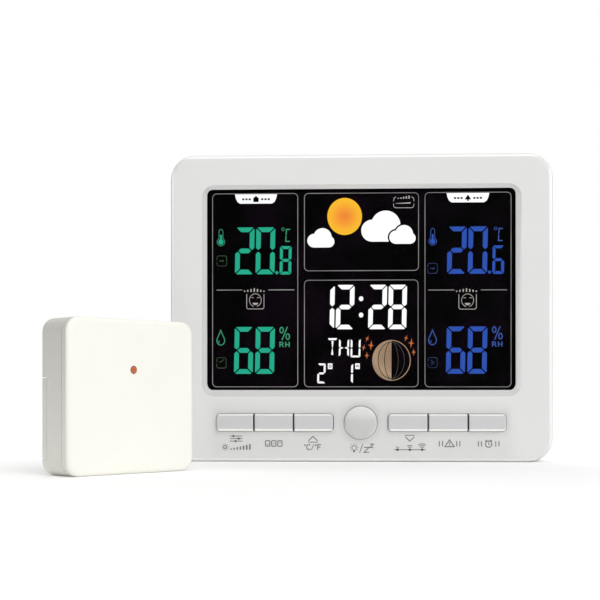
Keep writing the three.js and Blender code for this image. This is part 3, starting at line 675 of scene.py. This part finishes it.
def bars(width, height, thick, gap):
    """Outlines of the seven bars, named a to g clockwise from the top, with g in the middle."""
    half = height / 2
    corner = 0.42 * thick
    k = gap / math.sqrt(2)
    near, far = (corner - k) / 2, (corner + k) / 2
    top = [
        (corner, height), (far, height - near), (thick + k, height - thick),
        (width - thick - k, height - thick), (width - far, height - near), (width - corner, height),
    ]
    upper_left = [
        (0, height - corner), (near, height - far), (thick, height - thick - k),
        (thick, half + thick / 2 + k), (thick / 2, half + k), (0, half + k + 0.45 * thick),
    ]
    middle = [
        (thick / 2 + k, half), (thick + k, half - thick / 2), (width - thick - k, half - thick / 2),
        (width - thick / 2 - k, half), (width - thick - k, half + thick / 2), (thick + k, half + thick / 2),
    ]
    flip_x = lambda points: [(width - x, z) for x, z in points]
    flip_z = lambda points: [(x, height - z) for x, z in points]
    return {
        "a": top, "b": flip_x(upper_left), "c": flip_x(flip_z(upper_left)), "d": flip_z(top),
        "e": flip_z(upper_left), "f": upper_left, "g": middle,
    }


def leaning(points, x, z):
    return [(x + px + pz * DIGIT_LEAN, z + pz) for px, pz in points]


def digit(sheet, character, left, right, low, high, thick, gap, names=None):
    """One digit, or the bars named, in the box given; its lean is within the box."""
    height = high - low
    outlines = bars(right - left - height * DIGIT_LEAN, height, thick, gap)
    for name in names or DIGIT_BARS[character]:
        sheet.fill(leaning(softened(outlines[name], 0.09 * thick), left, low))


# ---- display: the two climate fields

def field_frames():
    sheet = Sheet(layer(0))
    fields = [
        (-68.45, -28.95, 34.4, 123.75), (-25.9, 26.65, 87.95, 123.7),
        (-25.9, 26.45, 34.4, 83.6), (29.6, 68.95, 34.35, 123.7),
    ]
    for left, right, low, high in fields:
        sheet.stroke(rounded_box(left, right, low, high, 1.9), 0.3, closed=True)
    sheet.made("display_field_frames", "grey_line", "display_line")


def badge(name, x, high, draw_icon):
    """White tab that hangs from a field's upper line, with a small dark picture in it."""
    side = [(9.75, 0), (9.35, -1.9), (8.6, -3.5), (7.4, -4.3)]
    outline = [(x + px, high + pz) for px, pz in side] + [(x - px, high + pz) for px, pz in side[::-1]]
    tab = Sheet(layer(1))
    tab.fill(outline)
    tab.made(f"{name}_badge", "white", "display_white")
    icon = Sheet(layer(2))
    for side in (-1, 1):
        for start in (2.4, 3.9, 5.4):
            icon.dash(x + side * start, high - 2.3, x + side * (start + 1.0), high - 2.3, 0.85)
    draw_icon(icon, x, high - 2.2)
    icon.made(f"{name}_badge_picture", "dark", "lcd")


def house(sheet, x, z):
    sheet.fill([(x - 1.7, z - 0.1), (x + 1.7, z - 0.1), (x, z + 1.5)])
    sheet.fill([(x - 1.2, z - 1.4), (x + 1.2, z - 1.4), (x + 1.2, z - 0.05), (x - 1.2, z - 0.05)])


def tree(sheet, x, z):
    sheet.fill([(x - 1.5, z - 0.8), (x + 1.5, z - 0.8), (x, z + 1.5)])
    sheet.fill([(x - 0.35, z - 1.45), (x + 0.35, z - 1.45), (x + 0.35, z - 0.75), (x - 0.35, z - 0.75)])


def thermometer(thin, solid, x, low):
    bulb_z = low + 1.9
    tube, bulb = 0.9, 1.75
    start = math.degrees(math.asin(tube / bulb))
    outline = arc(x, bulb_z, bulb, bulb, 90 + start, 450 - start, 28)
    outline += arc(x, low + 6.75, tube, 1.0, 0, 180, 10)
    thin.stroke(outline, 0.28, closed=True)
    solid.fill(arc(x, bulb_z, 1.2, 1.2, 110, 430, 24) + [(x + 0.38, low + 5.2), (x - 0.38, low + 5.2)])


def percent_sign(sheet, left, low):
    sheet.stroke(ellipse(left + 1.05, low + 4.6, 0.78, 1.3, 20), 0.5, closed=True)
    sheet.stroke(ellipse(left + 3.9, low + 1.6, 0.78, 1.3, 20), 0.5, closed=True)
    sheet.dash(left + 1.25, low, left + 3.75, low + 6.2, 0.48)


def humidity_unit(sheet, left, low):
    """The sign for relative humidity."""
    high = low + 2.45
    middle = low + 1.15
    sheet.dash(left + 0.28, low, left + 0.28, high, 0.5)
    sheet.stroke([(left + 0.2, high - 0.25), (left + 1.2, high - 0.25)] + arc(
        left + 1.2, middle + 0.55, 0.5, 0.5, 90, -90, 8) + [(left + 0.2, middle + 0.05)], 0.42)
    sheet.dash(left + 1.1, middle + 0.1, left + 1.95, low, 0.46)
    for x in (left + 2.95, left + 4.55):
        sheet.dash(x, low, x, high, 0.5)
    sheet.dash(left + 2.95, middle, left + 4.55, middle, 0.42)


def water_drop(sheet, x, low):
    half = [
        (0, 7.1), (0.45, 5.9), (1.1, 4.45), (1.72, 3.1), (1.85, 2.2), (1.55, 1.15), (0.85, 0.45), (0, 0.2),
    ]
    outline = [(x + px, low + pz) for px, pz in half] + [(x - px, low + pz) for px, pz in half[-2:0:-1]]
    sheet.stroke(outline, 0.42, closed=True)
    for i in range(3):
        sheet.stroke(arc(x + 0.1, low + 2.3, 1.45 - 0.35 * i, 1.6 - 0.35 * i, 175, 235, 6), 0.14)


def trend_frame(sheet, left, right, low, high):
    """Small box whose left side is open in the middle."""
    radius = 0.95
    middle = (low + high) / 2
    top = arc(left + radius, high - radius, radius, radius, 90, 180, 6)
    bottom = arc(left + radius, low + radius, radius, radius, 180, 270, 6)
    right_side = arc(right - radius, low + radius, radius, radius, -90, 0, 6)
    right_side += arc(right - radius, high - radius, radius, radius, 0, 90, 6)
    sheet.stroke([(left, middle - 0.45), *bottom, *right_side, *top, (left, middle + 0.45)], 0.3)


def comfort_mark(sheet, x, z, divider_z):
    """A small scale between the divider lines, and a plain smiling face in an open frame below it."""
    bottom = z - 4.15
    frame_line = [(x - 4.0, bottom + 6.95)] + arc(x - 3.1, bottom + 1.0, 0.9, 0.9, 180, 270, 5)
    frame_line += arc(x + 3.1, bottom + 1.0, 0.9, 0.9, -90, 0, 5) + [(x + 4.0, bottom + 6.95)]
    sheet.stroke(frame_line, 0.28)
    sheet.stroke(arc(x, z, 2.75, 2.95, -75, 255, 36), 0.26)
    for side in (-1, 1):
        sheet.stroke(arc(x + side * 1.32, z + 0.85, 0.55, 0.4, 20, 160, 6), 0.26)
    sheet.fill(arc(x, z - 1.25, 1.25, 1.0, 180, 360, 12))
    for i in range(7):
        bar_x, height = x - 5.0 + i * 1.5, 0.6325 + 0.345 * (3 - abs(i - 3))
        sheet.dash(bar_x, divider_z - 0.9, bar_x, divider_z - 0.9 + height, 0.54)


def celsius_sign(sheet, left, low, high):
    """The lower-case ring and a C whose upright is split in the middle."""
    middle = (low + high) / 2
    sheet.stroke([(left + 2.0, high), (left + 0.3, high), (left + 0.12, middle + 0.2)], 0.52)
    sheet.stroke([(left + 0.1, middle - 0.2), (left, low), (left + 1.85, low)], 0.52)
    sheet.stroke(ellipse(left - 1.3, high + 0.05, 0.6, 0.66, 16), 0.24, closed=True)


def climate_field(name, x, lift, tint, small_digit, marks):
    """Everything inside one climate field; x is its middle, lift how far the upper part lies lower."""
    low, high, bar, gap = 86.45 - lift, 108.15 - lift, 2.2, 0.54
    thick = Sheet(layer(1))
    digit(thick, "2", x - 9.5, x - 0.3, low, high, bar, gap)
    digit(thick, "0", x + 0.05, x + 9.3, low, high, bar, gap)
    digit(thick, small_digit, x + 11.2, x + 16.85, low - 0.15, 99.4 - lift, 1.35, 0.32)
    thick.fill(ellipse(x + 10.0, 87.15 - lift, 0.68, 0.75, 16))
    digit(thick, "6", x - 9.95, x - 0.8, 40.4, 62.1, bar, gap)
    digit(thick, "8", x - 0.2, x + 9.1, 40.4, 62.1, bar, gap)
    thin = Sheet(layer(1))
    thermometer(thin, thick, x - 15.95, 99.55 - lift)
    celsius_sign(thin, x + 14.1, 101.6 - lift, 107.15 - lift)
    percent_sign(thin, x + 11.1, 56.0)
    humidity_unit(thin, x + 11.1, 52.8)
    water_drop(thin, x - 16.05, 53.5)
    faint = Sheet(layer(1))
    marks(faint, x)
    thick.made(f"{name}_digits", tint, f"display_{tint}")
    thin.made(f"{name}_symbols", tint + "_thin", f"display_{tint}")
    faint.made(f"{name}_trend_boxes", tint + "_dim", f"display_{tint}")
    divider_z = 79.2 - lift * 2.5
    pale = Sheet(layer(1))
    comfort_mark(pale, x, 74.5 - lift * 3, divider_z)
    pale.made(f"{name}_comfort_face", "pale_line", "display_line")
    divider = Sheet(layer(1))
    for side in (-1, 1):
        divider.dash(x + side * 6.05, divider_z, x + side * 18.0, divider_z, 0.42)
    divider.made(f"{name}_divider", "grey_line", "display_line")


def indoor_marks(sheet, x):
    trend_frame(sheet, x - 17.8, x - 13.3, 90.35, 95.05)
    sheet.dash(x - 16.8, 92.7, x - 14.9, 92.7, 0.42)
    sheet.fill([(x - 15.3, 92.15), (x - 14.45, 92.7), (x - 15.3, 93.25)])
    trend_frame(sheet, x - 17.9, x - 13.55, 43.1, 47.9)
    sheet.stroke([(x - 16.9, 46.0), (x - 15.9, 46.0), (x - 15.2, 46.45), (x - 14.7, 47.2)], 0.4)


def outdoor_marks(sheet, x):
    trend_frame(sheet, x - 18.2, x - 13.85, 86.55, 91.2)
    sheet.dash(x - 17.2, 88.85, x - 15.6, 88.85, 0.4)
    sheet.fill(ellipse(x - 15.55, 88.85, 0.5, steps=12))
    trend_frame(sheet, x - 18.15, x - 13.9, 43.2, 47.9)
    for rise in (-1.2, 0, 1.2):
        sheet.dash(x - 17.0, 45.5 + rise, x - 15.3, 45.5 + 0.25 * rise, 0.34)


# ---- display: forecast field

def circle_meeting(first, second):
    """The upper point where two circles, each x, z and radius, cross."""
    (x0, z0, r0), (x1, z1, r1) = first, second
    gap = math.dist((x0, z0), (x1, z1))
    along = (gap * gap + r0 * r0 - r1 * r1) / (2 * gap)
    aside = math.sqrt(r0 * r0 - along * along)
    ux, uz = (x1 - x0) / gap, (z1 - z0) / gap
    options = [(x0 + along * ux - s * aside * uz, z0 + along * uz + s * aside * ux) for s in (-1, 1)]
    return max(options, key=lambda p: p[1])


def cloud_outline():
    """Three round heaps on a flat base whose left end is the origin."""
    left, top, right = (3.27, 3.27, 3.27), (7.25, 4.85, 4.35), (10.15, 2.75, 2.75)
    notches = [circle_meeting(right, top), circle_meeting(top, left)]
    angle = lambda circle, p: math.degrees(math.atan2(p[1] - circle[1], p[0] - circle[0]))
    outline = arc(*right[:2], right[2], right[2], -90, angle(right, notches[0]), 14)
    outline += arc(*top[:2], top[2], top[2], angle(top, notches[0]), angle(top, notches[1]), 20)[1:]
    outline += arc(*left[:2], left[2], left[2], angle(left, notches[1]), 270, 14)[1:]
    return outline


def forecast_field():
    outline = cloud_outline()
    small = moved(outline, 13.2, 100.2, 0.94)
    clouds = Sheet(layer(1))
    clouds.fill(moved(outline, -24.55, 98.7, 0.97))
    clouds.fill(moved(outline, 0.3, 101.25, 1.555))
    clouds.made("forecast_clouds", "white", "display_white")
    rim = Sheet(layer(2))
    rim.fill(offset(small, -0.72, closed=True))
    rim.made("forecast_cloud_rim", "dark", "lcd")
    front = Sheet(layer(3))
    front.fill(small)
    front.made("forecast_front_cloud", "white", "display_white")
    sun = Sheet(layer(1))
    sun.fill(ellipse(*SUN, 7.98, 8.55, 64))
    sun.made("forecast_sun", "sun", "display_amber")
    forecast_trend()


def forecast_trend():
    """A level pointer in a box that is open at both sides, with five rising bars in its upper line."""
    sheet = Sheet(layer(1))
    left, right, low, high, radius, line = 15.2, 24.5, 116.8, 121.8, 1.2, 0.27
    tray = [(left, 118.75)] + arc(left + radius, low + radius, radius, radius, 180, 270, 6)
    tray += arc(right - radius, low + radius, radius, radius, -90, 0, 6) + [(right, 118.75)]
    sheet.stroke(tray, line)
    for side, x in ((1, left), (-1, right)):
        corner = [(x, 119.85), (x, high - radius), (x + side * 0.35, high - 0.4), (x + side * 1.1, high)]
        sheet.stroke(corner, line)
    sheet.fill([(16.2, 118.7), (23.0, 118.75), (23.0, 119.3), (16.2, 118.9)])
    for i in range(5):
        x = 17.3 + i * 1.25
        sheet.dash(x, 120.95, x, 121.35 + 0.26 * i, 0.62)
    sheet.made("forecast_trend", "pale_line", "display_line")


# ---- display: clock, weekday, date and moon

def clock_field():
    sheet = Sheet(layer(1))
    low, high, thick = 60.95, 81.4, 2.08
    for character, left, right in (
        ("1", -20.75, -11.8), ("2", -11.5, -2.7), ("2", 3.45, 12.25), ("8", 12.6, 21.4),
    ):
        digit(sheet, character, left, right, low, high, thick, 0.48)
    for z in (67.5, 75.0):
        sheet.fill(ellipse(0.25, z, 1.02, 1.12, 24))
    weekday(sheet)
    digit(sheet, "2", -20.0, -16.05, 36.0, 45.2, 0.88, 0.2)
    digit(sheet, "1", -7.6, -3.4, 36.0, 45.15, 0.88, 0.2)
    for x in (-15.05, -2.45):
        sheet.fill(rounded_box(x, x + 2.08, 42.6, 45.2, 0.15, 2))
    sheet.made("clock_digits", "white", "display_white")
    marks = Sheet(layer(2))
    marks.stroke(ellipse(-14.01, 43.9, 0.5, 0.62, 12), 0.3, closed=True)
    marks.stroke([(-2.0, 43.3), (-1.75, 44.5), (-1.41, 43.7), (-1.07, 44.5), (-0.82, 43.3)], 0.26)
    marks.made("date_box_marks", "dark", "lcd")


def weekday(sheet):
    """The weekday as its display shows it, in tapered bars."""
    sheet.fill([(-15.0, 56.85), (-10.8, 56.85), (-11.25, 55.95), (-14.55, 55.95)])
    sheet.fill([(-13.4, 55.6), (-12.4, 55.6), (-12.8, 52.5), (-13.1, 52.5)])
    sheet.fill([(-13.1, 52.1), (-12.85, 52.1), (-12.55, 49.15), (-13.55, 49.15)])
    digit(sheet, "", -10.05, -5.2, 48.3, 56.5, 0.82, 0.2, names="bcef")
    for side in (-1, 1):
        arm = [(1.75, 0.2), (1.3, 0.48), (0.3, 0.04), (0.3, -0.04), (1.3, -0.48), (1.75, -0.2)]
        sheet.fill([(-7.62 + side * px, 52.35 + pz) for px, pz in arm])
    digit(sheet, "", -4.65, 0.05, 48.0, 56.5, 0.82, 0.2, names="bcdef")


def sparkle(sheet, x, z, half_width, half_height, turn):
    """A star with four points."""
    waist = 0.24 * half_width
    points = [
        (half_width, 0), (waist, waist), (0, half_height), (-waist, waist),
        (-half_width, 0), (-waist, -waist), (0, -half_height), (waist, -waist),
    ]
    sheet.fill(moved(points, x, z, turn=turn))


def moon():
    x, z = MOON
    radius_x, radius_z = 8.65, 9.2
    lit_half = Sheet(layer(1))
    lit_half.fill(arc(x, z, radius_x, radius_z, 90, 270, 40))
    lit_half.stroke(ellipse(x, z, radius_x, radius_z, 72), 0.38, closed=True)
    lit_half.made("moon_lit_half", "moon", "display_amber")
    for name, material, slot, reaches in (
        ("moon_dark_lines", "dark", "lcd", (-6.1, -3.15)),
        ("moon_pale_lines", "faint_line", "display_line", (3.1, 5.9)),
    ):
        sheet = Sheet(layer(2))
        for reach in reaches:
            sheet.stroke(arc(x, z, reach, 8.5, -88, 88, 30), 0.3)
        sheet.made(name, material, slot)
    stars = Sheet(layer(1))
    for px, pz, size, turn in (
        (3.1, 56.6, 0.78, -22), (4.83, 53.5, 1.15, -6), (1.45, 52.45, 0.8, -12), (2.92, 48.8, 0.85, 0),
        (20.94, 56.85, 0.8, -18), (23.3, 54.5, 1.15, -6), (24.4, 50.35, 0.85, 0),
    ):
        sparkle(stars, px, pz, 1.25 * size, 2.05 * size, turn)
    stars.made("moon_sparkles", "amber", "display_amber")


# ---- key labels, as plain pictures

LABEL_LINE = 0.46  # widths of the printed lines
FINE_LINE = 0.36


def label_arrow(sheet, x, z, up):
    side = 1 if up else -1
    sheet.stroke([(x - 2.1, z - side * 1.0), (x, z + side * 1.1), (x + 2.1, z - side * 1.0)], LABEL_LINE)
    sheet.dash(x - 2.2, z - side * 1.6, x + 2.2, z - side * 1.6, FINE_LINE)


def label_sliders(sheet, x, z):
    for i, knob in enumerate((-1.3, 1.2, -0.3)):
        row = z + 1.15 - i * 1.15
        sheet.dash(x - 2.9, row, x + 2.9, row, FINE_LINE)
        sheet.fill(ellipse(x + knob, row, 0.55, steps=12))


def label_dimmer(sheet, x, z):
    """A small sun and a row of rising bars."""
    sheet.stroke(ellipse(x - 5.1, z, 0.7, steps=18), LABEL_LINE, closed=True)
    sheet.rays(x - 5.1, z, 1.15, 1.65, range(0, 360, 45), FINE_LINE)
    for i in range(7):
        left = x - 2.4 + i * 1.45
        sheet.dash(left, z - 1.25, left, z - 0.7 + 0.33 * i, 0.75)


def label_memory(sheet, x, z):
    for i in range(3):
        left = x - 3.9 + i * 2.8
        sheet.stroke(rounded_box(left, left + 2.0, z - 1.25, z + 1.25, 0.3, 2), LABEL_LINE, closed=True)
        sheet.dash(left + 0.6, z - 0.5 + 0.5 * i, left + 1.4, z - 0.5 + 0.5 * i, FINE_LINE)


def label_units(sheet, x, z):
    """The two temperature scales, which the key switches between."""
    for left in (x - 3.7, x + 1.3):
        sheet.stroke(ellipse(left, z + 0.9, 0.32, steps=12), 0.26, closed=True)
    sheet.stroke(arc(x - 1.95, z, 0.95, 1.15, 45, 315, 16), LABEL_LINE)
    sheet.dash(x - 0.75, z - 1.3, x + 0.45, z + 1.3, FINE_LINE)
    sheet.stroke([(x + 2.15, z - 1.3), (x + 2.15, z + 1.1), (x + 3.7, z + 1.1)], LABEL_LINE)
    sheet.dash(x + 2.1, z, x + 3.4, z, LABEL_LINE)


def label_channels(sheet, x, z):
    sheet.dash(x - 7.2, z - 1.1, x + 7.2, z - 1.1, FINE_LINE)
    for i in range(3):
        node = x - 5.6 + 5.6 * i
        sheet.fill(ellipse(node, z - 1.1, 0.62, steps=14))
        for j in range(i + 1):
            reach = 1.1 + 0.75 * j
            sheet.stroke(arc(node, z - 1.0, reach, reach, 50, 130, 8), FINE_LINE)


def label_alert(sheet, x, z):
    sheet.stroke([(x - 2.1, z - 1.35), (x + 2.1, z - 1.35), (x, z + 1.8)], LABEL_LINE, closed=True)
    sheet.dash(x, z - 0.3, x, z + 0.7, LABEL_LINE)
    sheet.fill(ellipse(x, z - 0.8, 0.26, steps=8))
    label_waves(sheet, x, z)


def label_alarm(sheet, x, z):
    sheet.stroke(ellipse(x, z - 0.15, 1.45, steps=24), LABEL_LINE, closed=True)
    sheet.stroke([(x, z + 0.75), (x, z - 0.15), (x + 0.65, z - 0.5)], FINE_LINE)
    for side in (-1, 1):
        sheet.dash(x + side * 0.75, z + 1.75, x + side * 1.6, z + 1.15, LABEL_LINE)
    label_waves(sheet, x, z)


def label_waves(sheet, x, z):
    """Sound waves on both sides."""
    for side in (-1, 1):
        middle = 90 - side * 90
        for reach in (3.3, 4.7):
            spread = 70 / reach
            sheet.stroke(arc(x, z, reach, reach, middle - spread, middle + spread, 6), LABEL_LINE)


def label_light_and_sleep(sheet, x, z):
    bulb = x - 3.6
    sheet.stroke(arc(bulb, z + 0.35, 1.0, 1.0, -55, 235, 18), FINE_LINE)
    foot = [(-0.55, -0.55), (0.55, -0.55), (0.4, -1.7), (-0.4, -1.7)]
    sheet.fill(moved(foot, bulb, z))
    sheet.rays(bulb, z + 0.35, 1.45, 2.05, range(-30, 211, 40), 0.28)
    sheet.dash(x - 1.1, z - 1.9, x + 0.4, z + 2.1, FINE_LINE)
    for left, low, size in ((x + 0.95, z - 1.7, 2.3), (x + 3.7, z + 0.55, 1.5)):
        corners = [(left, low + size), (left + size, low + size), (left, low), (left + size, low)]
        sheet.stroke(corners, LABEL_LINE)


def key_labels():
    sheet = Sheet(FRONT_Y - 0.03, 0.02)
    upper, lower, single = 10.6, 6.75, 8.4
    label_sliders(sheet, -57.1, upper)
    label_dimmer(sheet, -57.1, lower)
    label_memory(sheet, -39.7, single)
    label_arrow(sheet, -21.8, upper, True)
    label_units(sheet, -21.8, lower)
    label_light_and_sleep(sheet, 0.6, 6.1)
    label_arrow(sheet, 22.4, upper, False)
    label_channels(sheet, 22.4, lower)
    label_alert(sheet, 40.5, single)
    label_alarm(sheet, 58.2, single)
    sheet.made("key_label_prints", "print", "print")


# ---- studio

def soft_sun(name, azimuth, elevation, strength, spread, color=(1, 1, 1)):
    """Even light from far away, from an azimuth counted clockwise from the front, seen from above."""
    light = bpy.data.lights.new(name, "SUN")
    light.energy = strength
    light.angle = math.radians(spread)
    light.color = color
    lamp = bpy.data.objects.new(name, light)
    a, e = math.radians(azimuth), math.radians(elevation)
    towards = Vector((-math.sin(a) * math.cos(e), math.cos(a) * math.cos(e), -math.sin(e)))
    lamp.rotation_euler = towards.to_track_quat("-Z", "Y").to_euler()
    bpy.context.scene.collection.objects.link(lamp)


def floor():
    half = 4.0  # metres
    corners = [(-half, -half, 0), (half, -half, 0), (half, half, 0), (-half, half, 0)]
    mesh = bpy.data.meshes.new("studio_floor")
    mesh.from_pydata(corners, [], [(0, 1, 2, 3)])
    mesh.materials.append(studio_floor("studio_floor_paint"))
    slab = bpy.data.objects.new("studio_floor", mesh)
    bpy.context.scene.collection.objects.link(slab)


def sky():
    """Plain white to the camera. As light it is weaker low down, and weaker from the left."""
    world = bpy.data.worlds.new("studio")
    world.use_nodes = True
    bpy.context.scene.world = world
    nodes = Nodes(world.node_tree)
    place = nodes.node("ShaderNodeTexCoord").outputs["Generated"]
    direction = nodes.node("ShaderNodeSeparateXYZ", {"Vector": place}).outputs
    by_height = nodes.ranged(direction["Z"], 0.36, 1.08, 0, 1)
    by_side = nodes.ranged(direction["X"], 0.25, 1, -1, 0)
    light, seen = world.node_tree.nodes["Background"], nodes.node("ShaderNodeBackground")
    for background in (light, seen):
        background.inputs["Color"].default_value = (1, 1, 1, 1)
    nodes.link(nodes.times(by_height, by_side), light.inputs["Strength"])
    to_camera = nodes.node("ShaderNodeLightPath").outputs["Is Camera Ray"]
    choice = nodes.node("ShaderNodeMixShader", {0: to_camera, 1: light.outputs[0], 2: seen.outputs[0]})
    nodes.link(choice.outputs[0], world.node_tree.nodes["World Output"].inputs["Surface"])


def camera():
    """The photograph's view: level, a hand's width above the table, turned slightly to the left."""
    lens = bpy.data.cameras.new("camera")
    lens.sensor_width = 36
    lens.lens = 70.3
    lens.shift_y = 0.1595
    lens.clip_start = 0.01
    lens.clip_end = 20
    made = bpy.data.objects.new("camera", lens)
    made.location = (-6.4 * MM, -549.5 * MM, 30.3 * MM)
    made.rotation_euler = (math.pi / 2, 0, math.radians(2.28))
    bpy.context.scene.collection.objects.link(made)
    bpy.context.scene.camera = made


bpy.context.scene.view_settings.view_transform = "Standard"
camera()
floor()
sky()
soft_sun("key_light", 30, 38, 1.2, 50, (1, 0.995, 0.985))
soft_sun("rear_light", 205, 30, 0.45, 60)
finish_cad()
field_frames()
climate_field("indoor", -48.6, 0.0, "green", "8", indoor_marks)
climate_field("outdoor", 49.1, 0.13, "blue", "6", outdoor_marks)
badge("indoor", -48.3, 123.45, house)
badge("outdoor", 49.25, 123.4, tree)
forecast_field()
clock_field()
moon()
key_labels()
